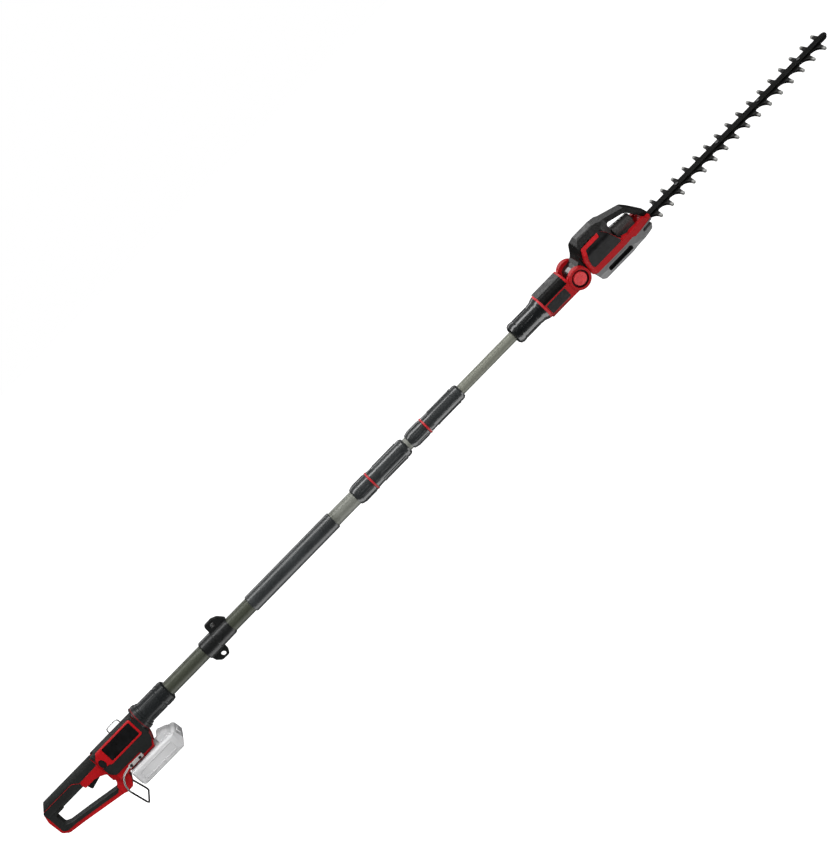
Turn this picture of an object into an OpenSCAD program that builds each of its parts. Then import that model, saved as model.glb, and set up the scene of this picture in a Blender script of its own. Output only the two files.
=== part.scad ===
// Telescopic pole hedge trimmer, built as separate pieces that move as the real ones do.
// Millimetres. X runs along the pole towards the blade and Z is up at the rear handle.

/* [Pole] */
// Outside radius of the lower tube
tube_1_r = 14; // [13:0.1:14.5]
// Outside radius of the middle tube
tube_2_r = 11.75; // [11:0.05:12]
// Outside radius of the upper tube
tube_3_r = 9.5; // [9:0.05:10]
// Wall thickness of the tubes
tube_wall = 1.4; // [1:0.1:1.8]
// Gap between the pieces of a sliding fit
fit = 0.05; // [0.02:0.01:0.1]
// Turn of the head about the pole, away from the handle's own plane
head_roll = 15; // [0:1:20]

/* [Cutter] */
// Distance from one tooth to the next on one side
tooth_pitch = 26.6; // [20:0.1:30]
// Teeth on each side of a blade
tooth_count = 16; // [10:1:16]
// Half width over the teeth
tooth_reach = 35.5; // [28:0.5:38]
// Tip of the first tooth on the right side
first_tooth = 542; // [535:1:548]
// Width of the guide bar
bar_width = 17; // [14:0.5:20]
// Thickness of one blade
blade_t = 1.8; // [1.5:0.1:2.2]

/* [Drive] */
// Teeth of the drive gear
gear_teeth = 48; // [32:4:60]
// Teeth of the motor's pinion
pinion_teeth = 12; // [10:1:16]
// Gear module
gear_module = 1; // [0.8:0.1:1.2]

/* [Handle] */
// Half width of the grip over its soft cover
grip_half_w = 14; // [12:0.5:16]
// Thickness of the soft cover and of the black side covers
skin = 2; // [1.5:0.1:3]
// Half width of the carrying loop of the handle
loop_half_w = 12; // [10:0.5:14]
// Radius of the stand's wire
stand_wire_r = 1.7; // [1.3:0.1:2.2]
// Half distance between the legs of the stand
stand_half_w = 37; // [20:1:40]

/* [Hidden] */
$fn = 64;
// the carrying eye is the origin
eye_x = -521;
eye_z = -25.6;
pivot_x = 364;
trigger_x = -821;
trigger_z = -10;
gear_x = 462;
motor_x = gear_x - gear_module * (gear_teeth + pinion_teeth) / 2;
bar_top = -20;
bar_t = 2.8;
blade_z1 = bar_top - bar_t - 0.15 - blade_t;
blade_z2 = blade_z1 - 0.15 - blade_t;
red = [0.72, 0.05, 0.07];
black = [0.08, 0.08, 0.09];
grey = [0.3, 0.31, 0.31];
steel = [0.72, 0.72, 0.72];
olive = [0.38, 0.38, 0.32];
frost = [0.82, 0.82, 0.82];

// ---- helper shapes ----
module place() {
    translate([-eye_x, 0, -eye_z]) children();
}
module head_place() {
    place() rotate([head_roll, 0, 0]) children();
}
module along_x(x0, x1) {
    translate([x0, 0, 0]) rotate([90, 0, 90]) linear_extrude(x1 - x0) children();
}
module across(y0, y1) {
    translate([0, y1, 0]) rotate([90, 0, 0]) linear_extrude(y1 - y0) children();
}
module upward(z0, z1) {
    translate([0, 0, z0]) linear_extrude(z1 - z0) children();
}
// a profile of [x, radius] points turned about the pole's axis
module turned(points) {
    rotate([0, 90, 0]) rotate_extrude() polygon([for (p = points) [p[1], p[0]]]);
}
module rod(x0, x1, r) {
    translate([x0, 0, 0]) rotate([0, 90, 0]) cylinder(h = x1 - x0, r = r);
}
module pin_y(x, z, y0, y1, r) {
    translate([x, y1, z]) rotate([90, 0, 0]) cylinder(h = y1 - y0, r = r);
}
module pin_z(x, y, z0, z1, r) {
    translate([x, y, z0]) cylinder(h = z1 - z0, r = r);
}
module block(x0, x1, y0, y1, z0, z1) {
    translate([x0, y0, z0]) cube([x1 - x0, y1 - y0, z1 - z0]);
}
// a raised or sunk pad that follows a round sleeve, centred at an angle about the axis
module ring_pad(x0, x1, r0, r1, at, wide) {
    rotate([at - wide / 2, 0, 0]) rotate([0, 90, 0])
        rotate_extrude(angle = wide) translate([r0, x0]) square([r1 - r0, x1 - x0]);
}
function unit(v) = v / norm(v);
// the points of a rounded corner b between its neighbours a and c, each given as [x, y, radius]
function corner(a, b, c) =
    let (p = [b[0], b[1]], u = unit([a[0] - b[0], a[1] - b[1]]),
         w = unit([c[0] - b[0], c[1] - b[1]]), half = acos(max(-1, min(1, u * w))) / 2,
         room = 0.48 * min(norm([a[0] - b[0], a[1] - b[1]]), norm([c[0] - b[0], c[1] - b[1]])),
         r = min(b[2], room * tan(half)))
    r < 0.01 || half > 89 ? [p] :
    let (s = p + u * (r / tan(half)), e = p + w * (r / tan(half)),
         m = p + unit(u + w) * (r / sin(half)),
         a0 = atan2(s[1] - m[1], s[0] - m[0]), a1 = atan2(e[1] - m[1], e[0] - m[0]),
         d = a1 - a0, turn = d > 180 ? d - 360 : d < -180 ? d + 360 : d,
         n = max(2, ceil(abs(turn) / 18)))
    [for (i = [0:n]) m + r * [cos(a0 + turn * i / n), sin(a0 + turn * i / n)]];
function soft(pts) = [for (i = [0:len(pts) - 1])
    each corner(pts[(i + len(pts) - 1) % len(pts)], pts[i], pts[(i + 1) % len(pts)])];
function rect(x0, x1, y0, y1, r) = soft([[x0, y0, r], [x1, y0, r], [x1, y1, r], [x0, y1, r]]);

// ---- rear handle outlines, as [x, z] seen from the side ----
housing_side = soft([[-808, -40, 0], [-808, 30, 0], [-711, 30, 0], [-705, 4, 6], [-705, -22, 6],
    [-709, -37, 6], [-721, -60, 2], [-782, -60, 4]]);
housing_plan = soft([[-812, -13.5, 0], [-794, -26, 8], [-716, -26, 6], [-704, -22.5, 0],
    [-704, 22.5, 0], [-716, 26, 6], [-794, 26, 8], [-812, 13.5, 0]]);
grip_side = soft([[-932, -20, 0], [-932, 4, 3], [-920, 17.3, 5], [-915, 40, 0], [-790, 40, 0],
    [-790, -20, 0]]);
loop_outer = soft([[-925, 9, 0], [-932, 5, 4], [-937, -12, 20], [-935, -42, 8], [-925, -51, 8],
    [-892, -56, 0], [-861, -61.8, 0], [-806, -72, 6], [-792, -71.5, 5], [-785, -62, 6],
    [-782, -40, 0], [-796, -10, 0]]);
loop_lining_edge = soft([[-931.5, 12, 0], [-931.5, -40, 6], [-924, -45.6, 6], [-903, -47.4, 10],
    [-840, -58.6, 0], [-819, -62.4, 3], [-808, -54, 0], [-780, -20, 0], [-806, -10.6, 0],
    [-806, 12, 0]]);
loop_open = soft([[-920, -12.5, 3], [-920, -36, 5], [-911, -40.5, 6], [-871, -46.9, 30],
    [-840, -52.5, 0], [-815, -57, 5], [-806, -46, 8], [-802.5, -34, 6], [-809, -24, 6],
    [-819, -19, 5], [-849, -19, 3], [-857, -12.5, 4]]);
boss_side = soft([[-851, -8, 0], [-849.5, -15.5, 2], [-828, -15.5, 4], [-819, -18.5, 4],
    [-809, -24, 6],
    [-802.5, -34, 6], [-790, -42, 0], [-796, 0, 0], [-848, -2, 2]]);
post_side = soft([[-802.5, -34, 4], [-806, -46, 8], [-812.5, -55, 4], [-812, -70, 4],
    [-806, -72.5, 4], [-791.5, -72, 5], [-783.5, -60, 8], [-779.5, -44, 0], [-780, -30, 0]]);
cover_side = soft([[-807, 30, 0], [-700, 30, 0], [-700, -20, 0], [-709, -35, 4],
    [-717, -43.5, 3], [-737, -43.5, 3], [-739, -36, 3], [-794, -36, 6], [-804, -27, 6],
    [-805, -2, 0]]);
frame_side = soft([[-806, -4, 1], [-804, 6, 3], [-793, 16.4, 4], [-712.5, 16.4, 3],
    [-712.5, -17, 3], [-787, -17, 3], [-790, -14, 3], [-804, -12, 4]]);
window_side = rect(-782, -716.5, -13.8, 13.4, 2);
// the cross button's outline, grown by t
function oval(t) = [for (a = [0:10:350])
    [-798 + (5.9 + t) * cos(a), -5.5 + (8.6 + t) * sin(a)]];

// the housing's section across the pole, grown by t
function section(t) = soft([[-18 - t, 15 + t, 4 + t], [18 + t, 15 + t, 4 + t],
    [23.3 + t, -49.2, 5], [-23.3 - t, -49.2, 5]]);
// the grip's section, grown by t
function grip_section(t) = rect(-grip_half_w + skin - t, grip_half_w - skin + t,
    -10.5 - t, 15.3 + t, 9 + t);

module housing(t) {
    intersection() {
        across(-30, 30) polygon(housing_side);
        along_x(-820, -700) polygon(section(t));
        upward(-90, 30) offset(delta = t - skin) polygon(housing_plan);
    }
}
module grip(t) {
    intersection() {
        along_x(-934, -800) polygon(grip_section(t));
        translate([skin - t, 0, t - skin]) across(-30, 30) polygon(grip_side);
    }
}
module handle_core() {
    difference() {
        union() {
            housing(0);
            grip(0);
            across(-loop_half_w, loop_half_w) difference() {
                polygon(loop_outer);
                polygon(loop_lining_edge);
            }
            across(-14, 14) polygon(boss_side);
            across(-15, 15) polygon(post_side);
            // bead between the soft pad and the lining
            intersection() {
                grip(skin - 0.3);
                across(-30, 30) polygon([[-936, 6.5], [-861.8, 6.5], [-851.5, -2.1], [-845, -2.1],
                    [-845, -1.2], [-851.3, -1.2], [-861.4, 7.3], [-936, 7.3]]);
            }
            intersection() {
                housing(skin + 0.7);
                across(-30, 30) difference() {
                    polygon(frame_side);
                    polygon(window_side);
                }
            }
        }
        // room inside the housing, the grip and the rail of the battery
        block(-799, -730, -17, 17, -33, 10);
        along_x(-731, -716) circle(r = 12);
        block(-922, -798, -8.5, 8.5, -6.5, 11);
        block(-848.3, -806, -5.6, 5.6, -25, 0);
        block(-776, -700, -17.4, 17.4, -60, -38);
        block(-776, -700, -21, 21, -45.4, -41);
        // seats of the stand's plates and the hole of the cross button
        for (s = [-1, 1]) block(-771, -737.5, s > 0 ? 22.4 : -30, s > 0 ? 30 : -22.4, -45, -38.6);
        across(-30, 30) polygon(oval(0.15));
        rod(-731, -690, 14.1);
        for (p = handle_screw_at) {
            pin_y(p[0], p[1], p[2] - 2.6, 40, 3.4);
            pin_y(p[0], p[1], -p[2] + 3, 40, 1.55);
        }
        for (x = [-765, -745]) pin_y(x, -41.8, -30, 30, 1.55);
        // seats of the trigger's pivot and of the hanging eye
        pin_y(trigger_x, trigger_z, -7.6, 7.6, 2.05);
        for (x = [-755, -729]) pin_z(x, 0, 8, 20, 1.05);
    }
}
// screws along Y: x, z and the half width there
handle_screw_at = [[-927, -2, 9], [-867, -57.7, 12], [-799, -62, 15], [-803, 11.6, 9.5],
    [-712.5, -33, 19]];

module shell_right() {
    color(red) place() intersection() {
        handle_core();
        block(-940, -690, -40, 0, -90, 40);
    }
}
module shell_left() {
    color(red) place() intersection() {
        handle_core();
        block(-940, -690, 0, 40, -90, 40);
    }
}
module cover(y0, y1) {
    difference() {
        intersection() {
            housing(skin);
            across(y0, y1) polygon(cover_side);
        }
        housing(0);
        across(-40, 40) polygon(frame_side);
        across(-14, 14) polygon(boss_side);
        across(-40, 40) polygon(loop_open);
        grip(skin);
        grip(0);
        across(-30, 30) polygon(oval(0.15));
        block(-776, -700, -17.4, 17.4, -60, -38);
        rod(-716, -690, 14.1);
        for (x = [-755, -729]) pin_z(x, 0, 8, 20, 1.05);
    }
}
module cover_right() {
    color(black) place() cover(-40, 0);
}
module cover_left() {
    color(black) place() cover(0, 40);
}
module label(s) {
    place() difference() {
        intersection() {
            housing(skin - 0.1);
            across(s > 0 ? 10 : -40, s > 0 ? 40 : -10) polygon(rect(-781.9, -716.6, -13.7, 13.3, 1.9));
        }
        housing(0);
    }
}
module label_right() {
    color(black) label(-1);
}
module label_left() {
    color(black) label(1);
}
module grip_pad() {
    color(black) place() difference() {
        intersection() {
            grip(skin);
            across(-30, 30) polygon(soft([[-940, 7.5, 0], [-861, 7.5, 2], [-851, -1, 2],
                [-806.5, -1, 0], [-806.5, 30, 0], [-940, 30, 0]]));
        }
        grip(0);
        housing(skin);
        across(-14, 14) polygon(boss_side);
        across(-loop_half_w, loop_half_w) difference() {
            polygon(loop_outer);
            polygon(loop_lining_edge);
        }
        for (p = handle_screw_at) pin_y(p[0], p[1], 9, 40, 3.4);
    }
}
module loop_lining() {
    color(black) place() difference() {
        union() {
            intersection() {
                grip(skin);
                across(-30, 30) polygon(soft([[-940, 6.3, 0], [-861.6, 6.3, 2], [-851.2, -2.4, 2],
                    [-851.2, -30, 0], [-940, -30, 0]]));
            }
            across(-loop_half_w - 0.8, loop_half_w + 0.8) intersection() {
                difference() {
                    polygon(loop_lining_edge);
                    polygon(loop_open);
                }
                polygon([[-940, -8], [-900, -8], [-900, -30], [-812.6, -30], [-812.6, -80],
                    [-940, -80]]);
            }
        }
        grip(0);
        across(-15, 15) polygon(post_side);
        across(-14, 14) polygon(boss_side);
        across(-loop_half_w, loop_half_w) difference() {
            polygon(loop_outer);
            polygon(loop_lining_edge);
        }
        for (p = handle_screw_at) pin_y(p[0], p[1], p[2] - 2.6, 40, 3.4);
    }
}
// ---- handle controls ----
module trigger() {
    color(black) place() union() {
        across(-5, 5) polygon(soft([[-825, -6, 2], [-817, -7, 2], [-815, -13, 2], [-819, -20.5, 1],
            [-844.5, -27.4, 2.5], [-847, -19, 2], [-845.5, -9.5, 1], [-841.5, -9.5, 1],
            [-840, -15, 2], [-827, -14, 2]]));
        pin_y(trigger_x, trigger_z, -7.4, 7.4, 1.97);
    }
}
module trigger_spring() {
    color(steel) place() translate([-834, 0, -13.9]) difference() {
        cylinder(h = 7.2, r = 2.6);
        translate([0, 0, -1]) cylinder(h = 10, r = 1.9);
    }
}
module switch_module() {
    color(black) place() difference() {
        union() {
            block(-838.5, -806, -8.3, 8.3, -6.3, 8.5);
            block(-845.8, -841.2, -3, 3, -1.5, 2);
            block(-842, -838.4, -3, 3, -1.5, 6);
        }
        block(-828.5, -814, -5.4, 5.4, -7, -3.4);
    }
}
module lockoff_button() {
    color(black) place() union() {
        across(-20.6, 20.6) polygon(oval(0));
        across(-21.6, 21.6) polygon(oval(-1));
    }
}
module terminal_block() {
    color(black) place() union() {
        block(-775.8, -764, -15, 15, -45, -38.2);
        for (y = [-9, -3, 3, 9]) block(-764.2, -756, y - 0.5, y + 0.5, -44, -40);
    }
}
// ---- stand, hanging eye and screws ----
module stand_arm(r) {
    for (p = [[[-739, 25, -41.8], [-776, 25, -41.8]], [[-776, 25, -41.8], [-789, 25.6, -46]],
        [[-789, 25.6, -46], [-797, stand_half_w - 6, -57]],
        [[-797, stand_half_w - 6, -57], [-798.6, stand_half_w - 1, -68]]])
        wire(p[0], p[1], r);
}
module wire(a, b, r) {
    v = b - a;
    translate(a) rotate([0, acos(v[2] / norm(v)), atan2(v[1], v[0])]) cylinder(h = norm(v), r = r);
    translate(b) sphere(r = r + 0.04);
}
module stand_wire() {
    color(black) place() difference() {
        union() {
            for (s = [-1, 1]) scale([1, s, 1]) {
                stand_arm(stand_wire_r);
                wire([-798.6, stand_half_w - 1, -68], [-791.4, stand_half_w, -104], stand_wire_r);
                wire([-791.4, stand_half_w, -104], [-790.6, stand_half_w - 4, -108], stand_wire_r);
            }
            wire([-790.6, stand_half_w - 4, -108], [-790.6, 4 - stand_half_w, -108], stand_wire_r);
        }
        for (x = [-765, -745]) pin_y(x, -41.8, -40, 40, 1.55);
    }
}
module stand_plates() {
    color(steel) place() for (s = [-1, 1]) scale([1, s, 1]) difference() {
        across(22.6, 28.4) polygon(rect(-770.5, -738, -44.8, -38.8, 1.2));
        wire([-735, 25, -41.8], [-780, 25, -41.8], stand_wire_r + 0.08);
        block(-775, -735, 20, 25, -41.8 - stand_wire_r - 0.08, -41.8 + stand_wire_r + 0.08);
        for (x = [-765, -745]) pin_y(x, -41.8, 0, 40, 1.55);
    }
}
module stand_screws() {
    color(black) place() for (s = [-1, 1]) for (x = [-765, -745]) scale([1, s, 1]) difference() {
        union() {
            pin_y(x, -41.8, 21.2, 28.4, 1.5);
            pin_y(x, -41.8, 28.4, 30, 2.6);
        }
        pin_y(x, -41.8, 29.2, 31, 1.1);
    }
}
module hanging_eye() {
    color(steel) place() union() {
        for (x = [-755, -729]) pin_z(x, 0, 9, 24.5, 1);
        for (s = [-1, 1]) translate([-742 + s * 9, 0, 24.5]) rotate([90, s > 0 ? 0 : -90, 0])
            rotate_extrude(angle = 90) translate([4, 0]) circle(r = 1);
        translate([0, 0, 28.5]) rod(-751, -733, 1);
    }
}
module rear_sleeve() {
    color(black) place() difference() {
        union() {
            turned([[-715.5, 0], [-715.5, 11.8], [-704.8, 11.8], [-704.8, 24.6], [-702.6, 25],
                [-702.6, 22.5], [-699.6, 22.5], [-699.6, 25], [-694, 24.4], [-693.6, 22.6],
                [-689, 22.2], [-688.6, 20.8], [-682, 19.9], [-652, 19.7], [-649, 20.6],
                [-638, 20.9], [-633, 19.4], [-630.5, 15.4], [-630.5, 0]]);
            for (a = [0:60:300]) ring_pad(-686, -653, 18, 20.5, a + 86, 44);
        }
        rod(-725, -620, tube_1_r + fit);
        for (a = [0:60:300]) ring_pad(-645, -635, 19.9, 24, a + 116, 34);
    }
}
module rear_seal() {
    color(red) place() turned([[-702.5, 22.6], [-702.5, 23.7], [-699.7, 23.7], [-699.7, 22.6]]);
}
module handle_screws() {
    color(black) place() for (p = handle_screw_at) difference() {
        union() {
            pin_y(p[0], p[1], p[2] - 2.5, p[2], 3.2);
            pin_y(p[0], p[1], -p[2] + 4, p[2] - 2, 1.5);
        }
        pin_y(p[0], p[1], p[2] - 1.2, p[2] + 1, 1.5);
    }
}
// ---- battery ----
module battery_pack() {
    color(frost) place() difference() {
        union() {
            intersection() {
                across(-36, 36) polygon(soft([[-775, -49.7, 3], [-686, -49.7, 4], [-672.5, -54, 5],
                    [-670, -71, 4], [-679, -83.4, 7], [-769, -83.4, 7], [-774.5, -75, 4]]));
                along_x(-780, -668) polygon(rect(-36, 36, -83.4, -49.7, 7));
                upward(-90, -40) polygon(soft([[-775, -36, 6], [-679, -36, 6], [-669, -26, 8],
                    [-669, 26, 8], [-679, 36, 6], [-775, 36, 6]]));
            }
            across(-24, 24) polygon(soft([[-704.6, -51, 0], [-704.6, -42, 2], [-700, -40, 2],
                [-684, -46, 5], [-678, -54, 0]]));
            block(-763.6, -716.5, -16.8, 16.8, -51, -38.6);
            block(-763.6, -716.5, -20.4, 20.4, -44.8, -41.6);
            for (s = [-1, 1]) across(s > 0 ? 35 : -36.6, s > 0 ? 36.6 : -35)
                polygon(rect(-764, -688, -76, -58, 3));
        }
        for (s = [-1, 1]) across(s > 0 ? 36 : -37, s > 0 ? 37 : -36) polygon(rect(-762, -690, -74, -60, 2));
        for (y = [-9, -3, 3, 9]) block(-765, -754, y - 1.2, y + 1.2, -45, -37);
        block(-690, -660, -11.3, 11.3, -71.3, -57.7);
    }
}
module battery_button() {
    color(frost) place() intersection() {
        block(-682, -668, -11, 11, -71, -58);
        across(-20, 20) polygon(soft([[-690, -80, 0], [-690, -50, 0], [-674, -50, 0],
            [-669.5, -60, 2], [-669.5, -68, 2], [-674, -80, 0]]));
    }
}
// ---- pole ----
module tube(x0, x1, r) {
    difference() {
        rod(x0, x1, r);
        rod(x0 - 1, x1 + 1, r - tube_wall);
    }
}
module lower_tube() {
    color(olive) place() tube(-715, -97, tube_1_r);
}
module strap_clamp() {
    color(black) place() difference() {
        union() {
            turned([[-541, 0], [-541, 16.4], [-539, 17.8], [-513, 17.8], [-511, 16.6],
                [-480, 16.2], [-477.5, 15.2], [-477.5, 0]]);
            across(-5, 5) polygon(soft([[-541, -12, 0], [-538, -24, 4], [-530, -32, 7],
                [-514, -32.5, 5], [-510, -26, 4], [-509, -12, 0]]));
            across(-7, 7) polygon(soft([[-512, 12, 0], [-511, 32, 3], [-494, 32.5, 3],
                [-484, 28, 5], [-475, 16.5, 3], [-478, 10, 0]]));
        }
        rod(-545, -470, tube_1_r + 0.3);
        block(-545, -470, -0.9, 0.9, 5, 40);
        pin_y(eye_x, eye_z, -20, 20, 4.7);
        pin_y(-499, 24, -20, 20, 2.2);
        pin_y(-499, 24, -20, -4.5, 4.4);
        pin_y(-499, 24, 4.5, 20, 4.4);
    }
}
module clamp_screw() {
    color(steel) place() difference() {
        union() {
            pin_y(-499, 24, -6.8, 6.8, 2.1);
            pin_y(-499, 24, -7.4, -4.6, 4.2);
            pin_y(-499, 24, 4.6, 7.4, 4.2);
        }
        pin_y(-499, 24, -8, -6, 2);
    }
}
module foam_grip() {
    color(black) place() turned([[-428, tube_1_r + fit], [-428, 15.6], [-426.5, 16.5],
        [-226.5, 16.5], [-225, 15.6], [-225, tube_1_r + fit]]);
}
// one twist lock, its ring at x0, for a tube of radius ro that holds one of radius ri
module lock_base(x0, ro, r, ri) {
    difference() {
        union() {
            turned([[x0 - 39.5, 0], [x0 - 39.5, ro + 1.6], [x0 - 37, r - 1.2], [x0 - 33, r],
                [x0 - 2, r], [x0 - 1.4, r - 0.8], [x0 - 1.4, ro + 1], [x0 + 36, ro + 1],
                [x0 + 36, 0]]);
            for (a = [0:30:330]) ring_pad(x0 - 31, x0 - 5, r - 1, r + 0.7, a, 17);
        }
        rod(x0 - 45, x0 + 38, ro + fit);
    }
}
module lock_ring(x0, ro, r) {
    turned([[x0 - 1.3, ro + 1.05], [x0 - 1.3, r], [x0 + 2.2, r], [x0 + 2.2, ro + 1.05]]);
}
module lock_sleeve(x0, ro, r, ri) {
    difference() {
        union() {
            turned([[x0 + 2.6, ro + 1.35], [x0 + 2.6, r + 0.4], [x0 + 12, r], [x0 + 75, r - 0.3],
                [x0 + 76, r + 0.2], [x0 + 82, r - 0.2], [x0 + 85.5, r - 2.6], [x0 + 86, ri + 0.5],
                [x0 + 70, ri + 0.5], [x0 + 69, ro + 0.4], [x0 + 38, ro + 0.4],
                [x0 + 37, ro + 1.35]]);
            for (a = [0:90:270]) ring_pad(x0 + 18, x0 + 73, r - 1, r + 0.9, a + 62, 58);
            for (a = [45:90:315]) ring_pad(x0 + 5, x0 + 13, r - 1, r + 1.1, a + 62, 16);
        }
        for (a = [0:90:270]) ring_pad(x0 + 22, x0 + 69, r + 0.5, r + 3, a + 62, 48);
    }
}
module lock_collet(x0, ro, ri) {
    difference() {
        turned([[x0 + 36.4, ri + fit], [x0 + 36.4, ro - 0.2], [x0 + 40, ro + 0.1],
            [x0 + 62, ro + 0.1], [x0 + 68, ri + 1.4], [x0 + 68, ri + fit]]);
        for (a = [0:90:270]) rotate([a, 0, 0]) block(x0 + 44, x0 + 70, -0.8, 0.8, 5, 20);
    }
}
module lock1_base() {
    color(grey) place() lock_base(-132, tube_1_r, 18.2, tube_2_r);
}
module lock1_ring() {
    color(red) place() lock_ring(-132, tube_1_r, 18.6);
}
module lock1_sleeve() {
    color(grey) place() lock_sleeve(-132, tube_1_r, 17, tube_2_r);
}
module lock1_collet() {
    color(steel) place() lock_collet(-132, tube_1_r, tube_2_r);
}
module middle_tube() {
    color(olive) place() tube(-560, 35, tube_2_r);
}
module lock2_base() {
    color(grey) head_place() lock_base(0, tube_2_r, 15.8, tube_3_r);
}
module lock2_ring() {
    color(red) head_place() lock_ring(0, tube_2_r, 16.4);
}
module lock2_sleeve() {
    color(grey) head_place() lock_sleeve(0, tube_2_r, 15, tube_3_r);
}
module lock2_collet() {
    color(steel) head_place() lock_collet(0, tube_2_r, tube_3_r);
}
module upper_tube() {
    color(olive) place() tube(-438, 280.8, tube_3_r);
}
// ---- joint of the head ----
module front_sleeve() {
    color(black) head_place() difference() {
        union() {
            turned([[215.5, 0], [215.5, 14.4], [218, 18.6], [223, 20.6], [229, 20.2],
                [232, 19.2], [262, 19], [268, 20.2], [274, 20.6], [279, 22.8], [283.6, 24],
                [283.6, 0]]);
            for (a = [0:60:300]) ring_pad(232, 264, 17, 19.9, a + 84, 46);
        }
        rod(200, 281, tube_3_r + fit);
        rod(270, 290, 8);
    }
}
module front_ring() {
    color(red) head_place() turned([[283.7, 8], [283.7, 24.2], [287.6, 24.6], [287.6, 8]]);
}
yoke_section = soft([[-24, -13, 11], [-24, 14, 10], [-15, 23.5, 8], [15, 23.5, 8], [24, 14, 10],
    [24, -13, 11], [15, -23.5, 8], [-15, -23.5, 8]]);
yoke_top = soft([[-30, 9, 0], [30, 9, 0], [30, 30, 0], [-30, 30, 0]]);
arm_side = soft([[318, -17, 6], [318, 8, 2], [339, 8, 4], [347, 15, 6], [366, 17, 0],
    [366, -17, 0], [345, -17, 6]]);
module yoke_core() {
    difference() {
        union() {
            intersection() {
                along_x(287.7, 352) polygon(yoke_section);
                across(-30, 30) polygon(soft([[287, -30, 0], [287, 30, 0], [344, 30, 0],
                    [346, 8, 6], [343, 0, 0], [346, -8, 6], [340, -30, 0]]));
            }
            // cheeks that carry the pivot
            for (s = [-1, 1]) difference() {
                union() {
                    pin_y(pivot_x, 0, s > 0 ? 19.6 : -30.4, s > 0 ? 30.4 : -19.6, 20.6);
                    intersection() {
                        across(s > 0 ? 13 : -26, s > 0 ? 26 : -13) polygon(arm_side);
                        upward(-30, 30) polygon(soft([[310, s * 10, 0], [330, s * 23.8, 10],
                            [345, s * 26, 8], [368, s * 30, 0], [368, s * 19.6, 0],
                            [345, s * 19.6, 3], [338, s * 12, 0]]));
                    }
                }
                pin_y(pivot_x, 0, s > 0 ? 26.4 : -40, s > 0 ? 40 : -26.4, 16);
                pin_y(pivot_x, 0, s > 0 ? 10 : -40, s > 0 ? 40 : -10, 8);
                pin_y(pivot_x, 0, s > 0 ? 21.6 : -40, s > 0 ? 40 : -21.6, 12.6);
            }
        }
        // black cover above, label seats below
        difference() {
            along_x(287, 341) polygon(yoke_top);
            along_x(286, 342) offset(delta = -skin) polygon(yoke_section);
        }
        for (s = [-1, 1]) across(s > 0 ? 23 : -30, s > 0 ? 30 : -23)
            polygon(rect(290, 334, -12.5, 6.4, 1.5));
        rod(287, 325, 7.9);
        rod(310, 342, 12);
    }
}
module yoke_right() {
    color(red) head_place() intersection() {
        yoke_core();
        block(280, 400, -40, 0, -40, 40);
    }
}
module yoke_left() {
    color(red) head_place() intersection() {
        yoke_core();
        block(280, 400, 0, 40, -40, 40);
    }
}
module yoke_cover() {
    color(black) head_place() difference() {
        intersection() {
            along_x(287.7, 341) polygon(yoke_section);
            along_x(287, 341) polygon(yoke_top);
        }
        along_x(286, 342) offset(delta = -skin) polygon(yoke_section);
        for (s = [-1, 1]) across(s > 0 ? 13 : -26, s > 0 ? 26 : -13) polygon(arm_side);
    }
}
module yoke_label(s) {
    head_place() across(s > 0 ? 23.05 : -24.4, s > 0 ? 24.4 : -23.05)
        polygon(rect(290.1, 333.9, -12.4, 6.3, 1.4));
}
module yoke_label_right() {
    color(black) yoke_label(-1);
}
module yoke_label_left() {
    color(black) yoke_label(1);
}
module pivot_button(s) {
    head_place() scale([1, s, 1]) difference() {
        union() {
            pin_y(pivot_x, 0, 25, 30, 12);
            pin_y(pivot_x, 0, 25, 25.9, 12.3);
        }
        across(29.4, 31) polygon(rect(pivot_x - 5.5, pivot_x + 5.5, -5.5, 5.5, 0.8));
    }
}
module pivot_button_right() {
    color(red) pivot_button(-1);
}
module pivot_button_left() {
    color(red) pivot_button(1);
}
module pivot_bolt() {
    color(steel) head_place() difference() {
        union() {
            pin_y(pivot_x, 0, -21.4, 21.4, 7.9);
            for (s = [-1, 1]) pin_y(pivot_x, 0, s > 0 ? 21.65 : -22.4, s > 0 ? 22.4 : -21.65, 9.6);
            for (s = [-1, 1]) pin_y(pivot_x, 0, s > 0 ? 21.3 : -21.8, s > 0 ? 21.8 : -21.3, 6);
        }
        pin_y(pivot_x, 0, -30, 30, 3.2);
    }
}
// ---- head ----
head_top = soft([[379, 8, 0], [381, 19, 4], [388, 27, 4], [396, 40, 6], [407, 47.6, 5],
    [441, 47.2, 10], [503, 27.5, 8], [512, 16, 8], [528, -9, 3], [528, -13, 0], [519, -13, 0],
    [500, 16, 5], [494, 20.5, 4], [464.5, 29.5, 4], [460.5, 26, 4], [466, -10, 0], [466, -13, 0],
    [386, -13, 0]]);
head_section = soft([[-31, -30, 8], [-32, 24, 12], [-22, 36, 8], [-10, 47.7, 6], [10, 47.7, 6],
    [22, 36, 8], [32, 24, 12], [31, -30, 8]]);
side_side = soft([[385, -14, 2], [387.5, 14, 5], [398, 35, 5], [442, 36, 4], [451, 24, 5],
    [461, -1, 5], [480, -7, 10], [524, -8, 3], [527, -14, 3], [524, -19, 3], [484, -20, 0],
    [478, -16.5, 2], [392, -16, 4]]);
panel_side = soft([[393, 2, 4], [396, 16, 5], [403, 29.5, 3], [436, 29.5, 3], [440, 44, 0],
    [470, 44, 0], [470, -4.5, 0], [396, -5, 4]]);
offset_panel = soft([[393.2, 2, 4], [396.2, 15.9, 5], [403.1, 29.3, 3], [436.1, 29.3, 3],
    [437.9, 35.8, 1], [441.8, 35.8, 3], [450.8, 24, 5], [459.6, 0, 3], [458, -4.3, 2],
    [396.1, -4.8, 4]]);
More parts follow.
